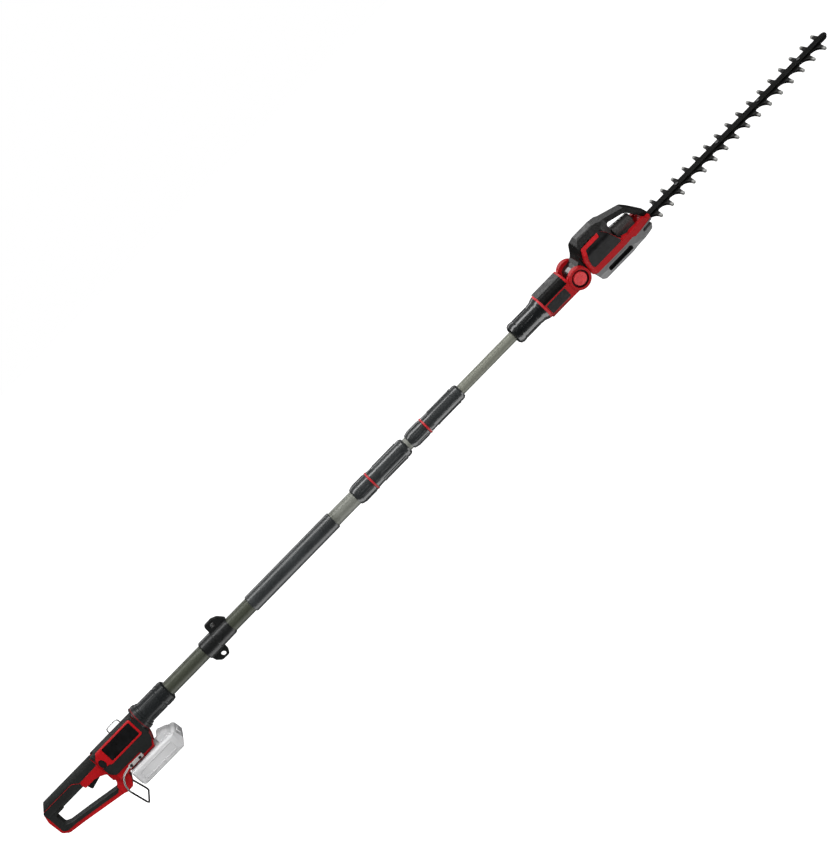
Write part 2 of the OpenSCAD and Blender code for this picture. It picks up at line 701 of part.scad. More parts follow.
guard_side = soft([[388, -16, 2], [392, -33, 6], [400, -40.5, 5], [462, -40.5, 5], [474, -37.5, 8],
    [515, -35, 5], [526, -20, 0], [524, -20, 0], [484, -20, 0], [478, -16.5, 0]]);
module head_env(t) {
    along_x(370, 530) offset(delta = t) polygon(head_section);
}
head_plan = soft([[380, -22, 8], [394, -32.5, 10], [452, -32.5, 20], [500, -25, 20],
    [529, -19, 4], [529, 19, 4], [500, 25, 20], [452, 32.5, 20], [394, 32.5, 10], [380, 22, 8]]);
module head_frame() {
    color(black) head_place() difference() {
        union() {
            intersection() {
                across(-23, 23) polygon(head_top);
                head_env(0);
                union() {
                    upward(-40, 60) polygon(soft([[370, -19.1, 0], [385.5, -19.1, 0],
                        [388, -22, 1], [448, -22, 10],
                        [462, -12, 6], [530, -10.5, 0], [530, 10.5, 0], [462, 12, 6],
                        [448, 22, 10], [388, 22, 1], [385.5, 19.1, 0], [370, 19.1, 0]]));
                }
            }
            // knuckle between the cheeks
            difference() {
                union() {
                    pin_y(pivot_x, 0, -19.2, 19.2, 14);
                    across(-19.2, 19.2) polygon(soft([[362, -12, 0], [362, 13, 0], [374, 15, 3],
                        [390, 24, 0], [394, -13, 0], [384, -12, 0]]));
                }
            }
        }
        pin_y(pivot_x, 0, -30, 30, 7.95);
        // the shaft's washers and the motor's room
        pin_z(motor_x, 0, -30, 30, 16.6);
        pin_z(gear_x, 0, -30, -12, 25.6);
        block(384, 402, -14, 14, -10, 12);
        block(448, 467.5, -14.2, 14.2, -14, 15);
        block(466, 500, -11.4, 11.4, -14, -6);
        for (x = [409, 418, 427]) for (s = [-1, 1])
            translate([x, s * 19, 33]) rotate([s * 42, 0, 0]) cube([4, 14, 3.4], center = true);
    }
}
module head_half(s) {
    head_place() difference() {
        union() {
            intersection() {
                across(s > 0 ? 21 : -40, s > 0 ? 40 : -21) polygon(side_side);
                head_env(0);
                upward(-60, 60) polygon(head_plan);
            }
            // nose under the barrel
            intersection() {
                across(s > 0 ? 0 : -40, s > 0 ? 40 : 0) polygon(soft([[480, -7.5, 3],
                    [524, -8, 3], [527, -14, 3], [524, -18.5, 2], [484, -18.5, 0], [478, -16, 0]]));
                upward(-60, 60) polygon(head_plan);
            }
        }
        difference() {
            across(s > 0 ? 10 : -40, s > 0 ? 40 : -10) polygon(panel_side);
            head_env(-2.2);
        }
        across(-22.4, 22.4) polygon(head_top);
        pin_z(gear_x, 0, -30, -10, 25.6);
        block(460, 519, -14.6, 14.6, -13, 20);
        across(-15.2, 15.2) polygon(soft([[462, -20, 0], [462, 20, 0], [512, 20, 0], [512, -12.6, 0],
            [500, -20, 0]]));
    }
}
module side_right() {
    color(red) head_half(-1);
}
module side_left() {
    color(red) head_half(1);
}
module panel(s) {
    head_place() difference() {
        intersection() {
            across(s > 0 ? 10 : -40, s > 0 ? 40 : -10) polygon(offset_panel);
            head_env(-0.3);
            upward(-60, 60) polygon(head_plan);
        }
        head_env(-2.15);
        across(-22.4, 22.4) polygon(head_top);
    }
}
module panel_right() {
    color(black) panel(-1);
}
module panel_left() {
    color(black) panel(1);
}
guard_section = soft([[-31, -10, 0], [-30.5, -25, 3], [-24, -40.5, 5],
    [24, -40.5, 5], [30.5, -25, 3], [31, -10, 0]]);
module lower_guard() {
    // raised rims around the side slots
    color(grey) head_place() for (s = [-1, 1]) difference() {
        intersection() {
            across(s > 0 ? 20 : -40, s > 0 ? 40 : -20) polygon(rect(408.5, 470.5, -35.5, -19.5, 4));
            along_x(370, 530) offset(delta = 1) polygon(guard_section);
            upward(-60, 60) polygon(head_plan);
        }
        along_x(370, 530) offset(delta = -0.6) polygon(guard_section);
        across(s > 0 ? 19 : -41, s > 0 ? 41 : -19) polygon(rect(411.5, 467.5, -32.5, -22.5, 3));
    }
    color(grey) head_place() difference() {
        pin_z(gear_x, 0, -29, -12.2, 4);
        pin_z(gear_x, 0, -40, -10, 1.5);
    }
    color(grey) head_place() difference() {
        intersection() {
            across(-40, 40) polygon(guard_side);
            along_x(370, 530) polygon(guard_section);
            upward(-60, 60) polygon(head_plan);
        }
        // side slots and the room of the gear and the blades
        for (s = [-1, 1]) translate([0, s * 30, 0]) across(-5, 5)
            polygon(rect(413, 466, -31.3, -23.5, 3));
        pin_z(gear_x, 0, -19.9, -10, 25.6);
        block(432, 530, -12.6, 12.6, -28, -19);
        upward(-28, -19.5) polygon(rect(422, 498, -17.6, 17.6, 3));
        pin_z(motor_x, 0, -20, -10, 9);
        for (x = blade_bolt_at) pin_z(x, 0, -34, -20, 2.1);
        block(500, 540, -26, 26, blade_z2 - 1, blade_z1 + blade_t + 0.4);
    }
}
module barrel_cover() {
    color(grey) head_place() difference() {
        union() {
            translate([0, 0, 0.6]) turned([[462, 0], [462, 13.6], [465, 13.6], [500, 10.4],
                [502.5, 8], [502.5, 0]]);
            block(470, 500, -11, 11, -12, 0);
        }
        translate([0, 0, 0.6]) turned([[460, 0], [460, 11.6], [465, 11.6], [498, 8.4], [498, 0]]);
        block(460, 497, -9.4, 9.4, -14, 0);
        for (x = [474, 482, 490]) translate([x, 0, 10]) cube([2.4, 9, 12], center = true);
    }
}
module motor() {
    color(steel) head_place() difference() {
        union() {
            pin_z(motor_x, 0, -8, 27, 16.4);
            pin_z(motor_x, 0, -9.6, -7.9, 6.5);
        }
        pin_z(motor_x, 0, -12, 22, 2.2);
        for (a = [0:60:300]) translate([motor_x, 0, 0]) rotate([0, 0, a])
            translate([10.5, 0, 26]) cube([6, 3, 4], center = true);
    }
}
// outline of a spur gear with n teeth
function gear_points(n, play) = [for (i = [0:n - 1])
    each let (a = 360 / n * i, m = gear_module, r = n * m / 2, k = 360 / n)
    [(r - 1.2 * m) * [cos(a - k * 0.34), sin(a - k * 0.34)],
     r * [cos(a - k * (0.25 - play)), sin(a - k * (0.25 - play))],
     (r + 0.85 * m) * [cos(a - k * 0.11), sin(a - k * 0.11)],
     (r + 0.85 * m) * [cos(a + k * 0.11), sin(a + k * 0.11)],
     r * [cos(a + k * (0.25 - play)), sin(a + k * (0.25 - play))],
     (r - 1.2 * m) * [cos(a + k * 0.34), sin(a + k * 0.34)]]];
module rotor() {
    color(steel) head_place() translate([motor_x, 0, 0]) union() {
        translate([0, 0, -18.6]) cylinder(h = 38, r = 2.1);
        translate([0, 0, -18.6]) linear_extrude(7.6) rotate(180 / pinion_teeth)
            polygon(gear_points(pinion_teeth, 0.03));
    }
}
module drive_gear() {
    color(steel) head_place() translate([gear_x, 0, 0]) union() {
        difference() {
            translate([0, 0, -18.4]) linear_extrude(6) polygon(gear_points(gear_teeth, 0.03));
            translate([0, 0, -20]) cylinder(h = 12, r = 4.06);
            for (a = [30:60:330]) rotate([0, 0, a]) translate([14, 0, -20]) cylinder(h = 10, r = 4);
        }
        difference() {
            union() {
                translate([2.4, 0, -24.7]) cylinder(h = 6.4, r = 8.4);
                translate([-2.4, 0, -26.6]) cylinder(h = 2, r = 8.4);
            }
            translate([0, 0, -28]) cylinder(h = 16, r = 4.06);
        }
    }
}
// ---- cutter ----
blade_bolt_at = [505, 600, 700, 800, 900];
module blade_bar() {
    color(black) head_place() difference() {
        union() {
            upward(bar_top - bar_t, bar_top) polygon(soft([[474, -12, 3], [496, -12, 3],
                [504, -bar_width / 2, 6], [965, -bar_width / 2, 7.5], [965, bar_width / 2, 7.5],
                [504, bar_width / 2, 6], [496, 12, 3], [474, 12, 3]]));
        }
        for (x = blade_bolt_at) pin_z(x, 0, -40, 0, 2.05);
    }
}
// one side's tooth, pointing to -Y, with its tip ending at x
function tooth(x) = [[x - 18, -7], [x - 13, -bar_width / 2 - 0.6], [x - 9.5, -13], [x - 6.6, -19],
    [x - 5, -26], [x - 4.6, -tooth_reach + 1], [x - 3.8, -tooth_reach],
    [x - 0.8, -tooth_reach], [x, -tooth_reach + 1], [x + 0.8, -20], [x + 1.6, -12],
    [x + 3.6, -bar_width / 2 - 0.6], [x + 6, -7]];
// half of a blade's outline, from the tail to the tip, its teeth set on by a share of the pitch
function blade_side(share) = concat([[434, 0], [434, -11], [437, -14], [485, -14], [490, -12],
    [496, -8], [500, -7]],
    [for (i = [0:tooth_count - 1]) each tooth(first_tooth + (i + share) * tooth_pitch)],
    [[958, -7], [963, -4], [964, 0]]);
function across_x(l) = [for (i = [len(l) - 2:-1:1]) [l[i][0], -l[i][1]]];
module blade(z, shift) {
    head_place() difference() {
        upward(z, z + blade_t) translate([shift, 0])
            polygon(concat(blade_side(0), across_x(blade_side(0.5))));
        upward(-40, -15) polygon(rect(gear_x - 21.5, gear_x + 19, -11.5, 11.5, 3));
        for (x = blade_bolt_at) upward(-40, -15) translate([shift, 0])
            polygon(rect(x - 12, x + 12, -2.3, 2.3, 2.2));
    }
}
module blade_upper() {
    color(steel) blade(blade_z1, 0);
}
module blade_lower() {
    color(steel) blade(blade_z2, -1);
}
module blade_bolts() {
    color(steel) head_place() for (x = blade_bolt_at) union() {
        pin_z(x, 0, blade_z2 - 0.2, bar_top + 0.1, 2);
        pin_z(x, 0, bar_top + 0.05, bar_top + 1.3, 3.6);
        pin_z(x, 0, blade_z2 - 1.3, blade_z2 - 0.15, 3.6);
    }
}

shell_right();
shell_left();
cover_right();
cover_left();
label_right();
label_left();
grip_pad();
loop_lining();
trigger();
trigger_spring();
switch_module();
lockoff_button();
terminal_block();
stand_plates();
stand_screws();
stand_wire();
hanging_eye();
rear_sleeve();
rear_seal();
handle_screws();
battery_pack();
battery_button();
lower_tube();
strap_clamp();
clamp_screw();
foam_grip();
lock1_base();
lock1_ring();
lock1_sleeve();
lock1_collet();
middle_tube();
lock2_base();
lock2_ring();
lock2_sleeve();
lock2_collet();
upper_tube();
front_sleeve();
front_ring();
yoke_right();
yoke_left();
yoke_cover();
yoke_label_right();
yoke_label_left();
pivot_button_right();
pivot_button_left();
pivot_bolt();
head_frame();
side_right();
side_left();
panel_right();
panel_left();
lower_guard();
motor();
rotor();
drive_gear();
barrel_cover();
blade_bar();
blade_upper();
blade_lower();
blade_bolts();
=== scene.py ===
"""Looks of the telescopic pole hedge trimmer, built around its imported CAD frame.

Lengths are in metres in the row frame. Where a shape repeats one of the CAD, its points are in
millimetres of the pole's own frame, whose X axis is the pole's, and at() turns them into metres.
"""

import math

import bmesh
import bpy
from mathutils import Matrix, Vector


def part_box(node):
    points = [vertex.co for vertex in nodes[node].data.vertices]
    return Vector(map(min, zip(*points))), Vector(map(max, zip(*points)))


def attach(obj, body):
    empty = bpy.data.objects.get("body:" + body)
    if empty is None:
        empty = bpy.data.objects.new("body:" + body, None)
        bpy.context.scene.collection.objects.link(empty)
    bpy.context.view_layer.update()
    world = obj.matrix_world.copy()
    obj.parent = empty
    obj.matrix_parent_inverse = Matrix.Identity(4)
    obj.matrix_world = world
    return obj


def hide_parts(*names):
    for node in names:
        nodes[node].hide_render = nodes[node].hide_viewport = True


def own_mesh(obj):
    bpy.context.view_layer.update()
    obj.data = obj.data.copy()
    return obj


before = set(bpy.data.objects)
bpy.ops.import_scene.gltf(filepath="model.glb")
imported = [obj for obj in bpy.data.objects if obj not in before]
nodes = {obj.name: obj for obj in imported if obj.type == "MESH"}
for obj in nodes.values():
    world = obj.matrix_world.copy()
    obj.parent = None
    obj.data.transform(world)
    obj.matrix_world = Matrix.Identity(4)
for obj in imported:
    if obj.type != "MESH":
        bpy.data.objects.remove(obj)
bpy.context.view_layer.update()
scene = bpy.context.scene

# the strap eye, which is the row frame's origin, lies here in the pole's own frame, in millimetres
EYE_X, EYE_Z = -521, -25.6
# the yoke and the head are turned about the pole by this angle
ROLL = math.radians(15)
# the axis of the folding pivot, in millimetres along the pole
PIVOT_X = 364


def at(x, y, z):
    """A point of the pole's own frame, in millimetres, as a point of the row frame."""
    return Vector(((x - EYE_X) / 1000, y / 1000, (z - EYE_Z) / 1000))


def head_at(x, y, z):
    """The same for the head and all that is turned with it about the pole."""
    c, s = math.cos(ROLL), math.sin(ROLL)
    return at(x, y * c - z * s, y * s + z * c)


def link(name, data):
    """A new object in the scene that shows the given mesh, curve, lamp or camera."""
    o = bpy.data.objects.new(name, data)
    scene.collection.objects.link(o)
    return o


# ---- camera ----
def camera():
    """A long lens from the right side and a little above, turned so that the pole runs diagonally."""
    side = math.radians(12)
    turn = math.radians(45.64)
    distance = 3.5
    ahead = Vector((0, math.cos(side), -math.sin(side)))
    right = Vector((1, 0, 0))
    up = Vector((0, math.sin(side), math.cos(side)))
    data = bpy.data.cameras.new("camera")
    data.sensor_fit = "HORIZONTAL"
    data.sensor_width = 36
    data.lens = 87.4
    data.clip_end = 60
    cam = link("camera", data)
    r = right * math.cos(turn) - up * math.sin(turn)
    u = right * math.sin(turn) + up * math.cos(turn)
    target = Vector((0.512, 0, 0.0256)) + up * 0.0041
    m = Matrix((r, u, -ahead)).transposed().to_4x4()
    m.translation = target - ahead * distance
    cam.matrix_world = m
    scene.camera = cam


# ---- light ----
def area(name, where, size, power, part="both", aim_x=0.5):
    """A soft box aimed at the middle of the tool; part says whether it gives only the soft tone,
    only the highlights, or both."""
    data = bpy.data.lights.new(name, "AREA")
    data.shape = "RECTANGLE"
    data.size, data.size_y = size
    data.energy = power
    o = link(name, data)
    o.location = where
    o.rotation_euler = (Vector((aim_x, 0, 0)) - Vector(where)).to_track_quat("-Z", "Y").to_euler()
    o.visible_camera = False
    o.visible_glossy = part != "tone"
    o.visible_diffuse = part != "shine"


def lights():
    area("key", (0.3, -1.3, 2.9), (4.4, 1.2), 92, "tone")
    area("front", (0.5, -3.6, 1.5), (3.2, 1.4), 105, "tone")
    area("under", (0.6, -1.4, -0.9), (3.8, 0.6), 12, "tone", aim_x=0.6)
    area("back", (0.6, 2.4, 2.2), (4.0, 0.6), 30)
    area("far", (0.5, 3.6, 1.3), (3.2, 1.4), 80, "tone")
    area("top_strip", (0.5, -0.7, 2.6), (5.0, 0.8), 92, "shine")
    area("low_strip", (0.6, -0.3, -0.95), (4.6, 0.8), 40, "shine", aim_x=0.6)


def studio():
    """The surroundings: white to the camera, and to the object pale above and below and dark at
    the height of the horizon."""
    world = bpy.data.worlds.new("studio")
    scene.world = world
    world.use_nodes = True
    t = world.node_tree
    t.nodes.clear()
    new, join = t.nodes.new, t.links.new
    out = new("ShaderNodeOutputWorld")
    lit = new("ShaderNodeBackground")
    lit.inputs["Strength"].default_value = 1.0
    seen = new("ShaderNodeBackground")
    seen.inputs["Color"].default_value = (1, 1, 1, 1)
    seen.inputs["Strength"].default_value = 1.0
    height = new("ShaderNodeSeparateXYZ")
    half = new("ShaderNodeMapRange")
    half.inputs["From Min"].default_value = -1.0
    ramp = new("ShaderNodeValToRGB")
    steps = ((0.0, 0.3), (0.16, 0.2), (0.32, 0.03), (0.66, 0.03), (0.86, 0.3), (1.0, 0.5))
    stops = ramp.color_ramp.elements
    while len(stops) < len(steps):
        stops.new(0.5)
    for stop, (where, tone) in zip(stops, steps):
        stop.position = where
        stop.color = (tone, tone, tone, 1)
    choose = new("ShaderNodeMixShader")
    join(new("ShaderNodeTexCoord").outputs["Generated"], height.inputs[0])
    join(height.outputs["Z"], half.inputs["Value"])
    join(half.outputs["Result"], ramp.inputs[0])
    join(ramp.outputs[0], lit.inputs["Color"])
    join(new("ShaderNodeLightPath").outputs["Is Camera Ray"], choose.inputs[0])
    join(lit.outputs[0], choose.inputs[1])
    join(seen.outputs[0], choose.inputs[2])
    join(choose.outputs[0], out.inputs[0])


def floor():
    """A wide pale disc below, which only the camera sees, so that its bounce doesn't fill the
    object's dark sides."""
    mesh = bpy.data.meshes.new("floor")
    bm = bmesh.new()
    bmesh.ops.create_circle(bm, cap_ends=True, segments=96, radius=30)
    bm.to_mesh(mesh)
    bm.free()
    o = link("floor", mesh)
    o.location = (0.5, 0, -1.0)
    m = bpy.data.materials.new("floor")
    m.use_nodes = True
    b = m.node_tree.nodes["Principled BSDF"]
    b.inputs["Base Color"].default_value = (0.9, 0.9, 0.9, 1)
    b.inputs["Roughness"].default_value = 0.9
    b.inputs["Specular IOR Level"].default_value = 0.1
    b.inputs["Emission Color"].default_value = (1, 1, 1, 1)
    b.inputs["Emission Strength"].default_value = 0.9
    mesh.materials.append(m)
    o.visible_glossy = False
    o.visible_diffuse = False


# ---- materials ----
class Tree:
    """A few short ways to add shader nodes."""

    def __init__(self, name):
        self.m = bpy.data.materials.new(name)
        self.m.use_nodes = True
        self.t = self.m.node_tree
        self.b = self.t.nodes["Principled BSDF"]
        self.coord = self.t.nodes.new("ShaderNodeTexCoord").outputs["Object"]

    def add(self, kind, **sockets):
        """A node with its sockets set or linked; an underscore in a name stands for a space."""
        n = self.t.nodes.new(kind)
        for k, v in sockets.items():
            self.put(n.inputs[k.replace("_", " ")], v)
        return n

    def put(self, socket, v):
        if isinstance(v, bpy.types.NodeSocket):
            self.t.links.new(v, socket)
        else:
            socket.default_value = v

    def scaled(self, x, y, z):
        """Coordinates stretched by direction, for lines and streaks."""
        n = self.add("ShaderNodeMapping", Vector=self.coord)
        n.inputs["Scale"].default_value = (x, y, z)
        return n.outputs[0]

    def noise(self, scale, detail=2.0, rough=0.5, vector=None):
        n = self.add("ShaderNodeTexNoise", Scale=scale, Detail=detail, Roughness=rough)
        self.put(n.inputs["Vector"], vector or self.coord)
        return n.outputs["Fac"]

    def ramp(self, value, lo, hi):
        """Black below lo, white above hi, and a blend between them."""
        n = self.add("ShaderNodeValToRGB", Fac=value)
        e = n.color_ramp.elements
        e[0].position, e[1].position = lo, hi
        e[0].color, e[1].color = (0, 0, 0, 1), (1, 1, 1, 1)
        return n.outputs[0]

    def span(self, value, a, b, lo=0.0, hi=1.0):
        """The value's range lo to hi turned into the range a to b."""
        n = self.add("ShaderNodeMapRange", Value=value)
        n.inputs["From Min"].default_value, n.inputs["From Max"].default_value = lo, hi
        n.inputs["To Min"].default_value, n.inputs["To Max"].default_value = a, b
        return n.outputs[0]

    def mix(self, fac, a, b):
        n = self.t.nodes.new("ShaderNodeMix")
        n.data_type = "RGBA"
        self.put(n.inputs["Factor"], fac)
        for socket, v in ((n.inputs["A"], a), (n.inputs["B"], b)):
            self.put(socket, v if isinstance(v, bpy.types.NodeSocket) else (*v, 1))
        return n.outputs["Result"]

    def math(self, op, a, b=0.0):
        n = self.t.nodes.new("ShaderNodeMath")
        n.operation = op
        self.put(n.inputs[0], a)
        self.put(n.inputs[1], b)
        return n.outputs[0]

    def along(self, v):
        """How far a point lies along the row direction v, in metres."""
        n = self.t.nodes.new("ShaderNodeVectorMath")
        n.operation = "DOT_PRODUCT"
        self.put(n.inputs[0], self.coord)
        n.inputs[1].default_value = v
        return n.outputs["Value"]

    def bump(self, height, strength, distance, normal=None):
        n = self.add("ShaderNodeBump", Height=height, Strength=strength, Distance=distance)
        if normal:
            self.put(n.inputs["Normal"], normal)
        return n.outputs[0]

    def rounded(self, radius):
        """A normal that softens sharp edges by the radius."""
        n = self.t.nodes.new("ShaderNodeBevel")
        n.samples = 4
        n.inputs["Radius"].default_value = radius
        return n.outputs[0]


def plastic(name, color, rough, grain, grain_scale, edge, coat=0.0, wear=0.5, spec=0.5):
    """Moulded plastic: spark-eroded grain, faint flow and handling marks, and rounded edges."""
    t = Tree(name)
    tint = 0.12
    broad = t.noise(14, 3, 0.6)
    fine = t.noise(170, 4, 0.65)
    dark = tuple(c * (1 - tint) for c in color)
    light = tuple(min(1, c * (1 + tint) + 0.0015) for c in color)
    c = t.mix(t.ramp(broad, 0.35, 0.68), dark, light)
    rub = t.math("MULTIPLY", t.ramp(t.noise(46, 5, 0.7), 0.56, 0.74), wear * 0.35)
    c = t.mix(rub, c, tuple(min(1, v * 1.3 + 0.003) for v in color))
    t.put(t.b.inputs["Base Color"], c)
    t.put(t.b.inputs["Roughness"], t.span(fine, rough - 0.07, min(1, rough + 0.09), 0.3, 0.7))
    t.b.inputs["Specular IOR Level"].default_value = spec
    t.b.inputs["Coat Weight"].default_value = coat
    t.b.inputs["Coat Roughness"].default_value = 0.12
    normal = t.rounded(edge) if edge else None
    t.put(t.b.inputs["Normal"], t.bump(t.noise(grain_scale, 2, 0.6), grain, 0.0002, normal))
    return t.m


def soft_grip():
    """Soft overmould: fine pebbled grain, matt, with a dusty sheen on the rubbed places."""
    t = Tree("soft_black")
    cell = t.add("ShaderNodeTexVoronoi", Scale=620.0, Vector=t.coord)
    broad = t.noise(11, 3, 0.6)
    c = t.mix(t.ramp(broad, 0.3, 0.7), (0.008, 0.0088, 0.0084), (0.0125, 0.0135, 0.013))
    dust = t.math("MULTIPLY", t.ramp(t.noise(60, 5, 0.7), 0.52, 0.8), 0.3)
    c = t.mix(dust, c, (0.026, 0.027, 0.026))
    t.put(t.b.inputs["Base Color"], c)
    t.put(t.b.inputs["Roughness"], t.span(t.noise(90, 4, 0.6), 0.55, 0.75, 0.3, 0.7))
    t.b.inputs["Specular IOR Level"].default_value = 0.11
    t.b.inputs["Sheen Weight"].default_value = 0.02
    t.b.inputs["Sheen Roughness"].default_value = 0.5
    h = t.math("ADD", cell.outputs["Distance"], t.noise(1500, 1))
    t.put(t.b.inputs["Normal"], t.bump(h, 0.16, 0.0002, t.rounded(0.0009)))
    return t.m


def gloss():
    """Polished black plate with faint swirls and dust."""
    t = Tree("gloss_black")
    swirl = t.noise(30, 6, 0.75)
    t.put(t.b.inputs["Base Color"], t.mix(t.ramp(swirl, 0.45, 0.7), (0.003, 0.003, 0.003),
                                          (0.008, 0.008, 0.009)))
    t.put(t.b.inputs["Roughness"], t.span(t.noise(240, 5, 0.7), 0.26, 0.4, 0.3, 0.75))
    t.b.inputs["Specular IOR Level"].default_value = 0.35
    t.b.inputs["Coat Weight"].default_value = 0.06
    t.b.inputs["Coat Roughness"].default_value = 0.15
    t.put(t.b.inputs["Normal"], t.bump(t.noise(400, 2), 0.03, 0.0001, t.rounded(0.0005)))
    return t.m


def tube_metal(name, color, rubbed=None, start=0, end=0, spec=0.3):
    """Anodised drawn tube: fine lines along it, slow tone bands and light scuffs from sliding.
    From start to end, in millimetres along the pole, it turns into a paler rubbed stretch."""
    t = Tree(name)
    rough = 0.4
    lines = t.noise(1, 3, 0.6, t.scaled(2.2, 700, 700))
    band = t.noise(1, 2, 0.5, t.scaled(4, 50, 50))
    scuff = t.noise(1, 5, 0.75, t.scaled(50, 300, 300))

    def tone(c):
        lined = t.mix(t.ramp(lines, 0.3, 0.7), tuple(v * 0.92 for v in c), tuple(v * 1.08 for v in c))
        return t.mix(t.span(band, 0.0, 0.25, 0.3, 0.7), lined, tuple(v * 0.86 for v in c))

    c = tone(color)
    if rubbed:
        where = t.math("ADD", t.along((1, 0, 0)), t.span(t.noise(30, 3), -0.01, 0.01))
        c = t.mix(t.span(where, 0, 1, at(start, 0, 0).x, at(end, 0, 0).x), c, tone(rubbed))
    c = t.mix(t.math("MULTIPLY", t.ramp(scuff, 0.62, 0.8), 0.14), c, (0.4, 0.4, 0.36))
    t.put(t.b.inputs["Base Color"], c)
    t.b.inputs["Metallic"].default_value = 0.15
    t.b.inputs["Specular IOR Level"].default_value = spec
    t.put(t.b.inputs["Roughness"], t.span(lines, rough - 0.05, rough + 0.07, 0.3, 0.7))
    t.put(t.b.inputs["Normal"], t.bump(lines, 0.05, 0.0001))
    return t.m


def foam():
    """Closed-cell foam sleeve: open pores and dents darkened with painted shade, and a matt skin."""
    t = Tree("foam")
    pores = t.add("ShaderNodeTexVoronoi", Scale=520.0, Vector=t.coord)
    cells = t.ramp(pores.outputs["Distance"], 0.02, 0.35)
    broad = t.noise(16, 4, 0.6)
    c = t.mix(t.ramp(broad, 0.3, 0.7), (0.016, 0.018, 0.0185), (0.026, 0.029, 0.030))
    # painted shade: the pores and dents darker
    c = t.mix(cells, (0.008, 0.009, 0.0095), c)
    t.put(t.b.inputs["Base Color"], c)
    t.put(t.b.inputs["Roughness"], t.span(broad, 0.25, 0.33, 0.3, 0.7))
    t.b.inputs["Sheen Weight"].default_value = 0.04
    t.b.inputs["Sheen Roughness"].default_value = 0.4
    h = t.math("ADD", t.math("MULTIPLY", cells, 0.6), t.noise(210, 4, 0.6))
    t.put(t.b.inputs["Normal"], t.bump(h, 0.04, 0.0002))
    return t.m


def steel(name, color, rough, lines=(30, 700, 700), metallic=1.0, spec=0.5):
    """Ground or painted steel with fine lines and darker handling spots."""
    t = Tree(name)
    t.b.inputs["Specular IOR Level"].default_value = spec
    grind = t.noise(1, 4, 0.65, t.scaled(*lines))
    spots = t.ramp(t.noise(70, 5, 0.7), 0.55, 0.75)
    c = t.mix(t.ramp(grind, 0.3, 0.7), tuple(v * 0.8 for v in color),
              tuple(min(1, v * 1.12) for v in color))
    c = t.mix(t.math("MULTIPLY", spots, 0.3), c, tuple(v * 0.45 for v in color))
    t.put(t.b.inputs["Base Color"], c)
    t.b.inputs["Metallic"].default_value = metallic
    t.put(t.b.inputs["Roughness"], t.span(grind, rough - 0.08, rough + 0.12, 0.3, 0.7))
    t.put(t.b.inputs["Normal"], t.bump(grind, 0.1, 0.0001, t.rounded(0.0003)))
    return t.m


def blade_steel():
    """Black-oxide blade whose teeth are ground bare towards their tips."""
    t = Tree("blade_steel")
    across = Vector((0, math.cos(ROLL), math.sin(ROLL)))
    off_axis = t.math("ABSOLUTE", t.math("SUBTRACT", t.along(across), at(0, 0, 0).dot(across)))
    ragged = t.math("ADD", off_axis, t.span(t.noise(160, 4, 0.6), -0.0022, 0.0022))
    bare = t.span(ragged, 0, 1, 0.024, 0.031)
    grind = t.noise(1, 4, 0.65, t.scaled(900, 60, 60))
    coat = t.mix(t.noise(90, 4, 0.6), (0.0015, 0.0015, 0.0015), (0.0045, 0.0045, 0.0042))
    ground = t.mix(grind, (0.16, 0.16, 0.155), (0.36, 0.36, 0.345))
    t.put(t.b.inputs["Base Color"], t.mix(bare, coat, ground))
    t.put(t.b.inputs["Metallic"], t.span(bare, 0.0, 0.9))
    t.b.inputs["Specular IOR Level"].default_value = 0.08
    t.put(t.b.inputs["Roughness"], t.span(t.math("MULTIPLY", grind, bare), 0.5, 0.3))
    t.put(t.b.inputs["Normal"], t.bump(grind, 0.12, 0.0001, t.rounded(0.0004)))
    return t.m


def frosted():
    """Pale satin plastic of the battery, a little translucent at its edges."""
    t = Tree("frosted_pack")
    broad = t.noise(18, 3, 0.6)
    c = t.mix(t.ramp(broad, 0.3, 0.7), (0.45, 0.45, 0.455), (0.54, 0.54, 0.545))
    t.put(t.b.inputs["Base Color"], c)
    t.put(t.b.inputs["Roughness"], t.span(t.noise(160, 4, 0.6), 0.32, 0.5, 0.3, 0.7))
    t.b.inputs["Subsurface Weight"].default_value = 0.12
    t.b.inputs["Subsurface Radius"].default_value = (0.004, 0.004, 0.004)
    t.b.inputs["Subsurface Scale"].default_value = 1.0
    t.put(t.b.inputs["Normal"], t.bump(t.noise(800, 2), 0.1, 0.0002, t.rounded(0.0012)))
    return t.m


def stand_steel():
    """Black-painted wire whose upper arms, above a set height, are bright steel."""
    t = Tree("stand_wire_steel")
    high = t.math("ADD", t.along((0, 0, 1)), t.span(t.noise(120, 3, 0.6), -0.002, 0.002))
    bare = t.span(high, 0, 1, -0.0475, -0.043)
    bright = t.mix(t.noise(300, 3), (0.36, 0.36, 0.35), (0.55, 0.55, 0.54))
    c = t.mix(bare, (0.012, 0.012, 0.012), bright)
    t.put(t.b.inputs["Base Color"], c)
    t.put(t.b.inputs["Metallic"], t.span(bare, 0.1, 0.9))
    t.put(t.b.inputs["Roughness"], t.span(t.noise(240, 4, 0.6), 0.28, 0.46, 0.3, 0.7))
    t.put(t.b.inputs["Normal"], t.bump(t.noise(700, 2), 0.1, 0.0001))
    return t.m


